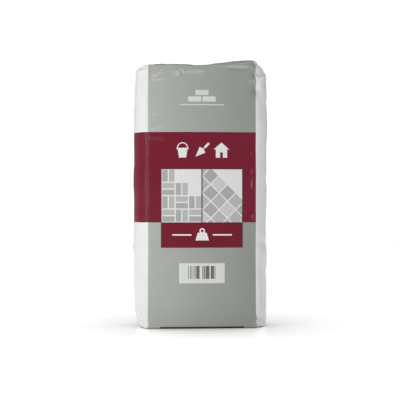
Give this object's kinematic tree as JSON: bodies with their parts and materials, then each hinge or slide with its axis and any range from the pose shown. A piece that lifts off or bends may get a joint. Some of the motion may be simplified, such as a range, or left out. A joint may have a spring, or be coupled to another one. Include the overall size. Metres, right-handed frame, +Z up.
{
  "type": "cement bag",
  "caption": "Filled paper block-bottom valve sack of cement powder, standing on end, with bulging sides, creased corners and an uneven folded top.",
  "frame": {"origin": "middle of the foot, on the surface that the bag stands on", "axes": "+Z up, from the foot to the folded top; the printed front panel faces -Y; +X towards the side with the valve"},
  "size_m": [0.274, 0.139, 0.5386],
  "materials": {
    "printed_paper": "coated sack paper, printed grey with white sides and a dark red band, slightly glossy and creased",
    "cement": "fine pale grey powder, dull",
    "cover_paper": "white sack paper, smooth",
    "kraft_paper": "brown kraft paper, dull"
  },
  "bodies": {
    "root": {"sack": "printed_paper", "cement_fill": "cement", "top_cover_sheet": "cover_paper", "bottom_cover_sheet": "cover_paper", "valve_sleeve": "kraft_paper"}
  },
  "joints": []
}
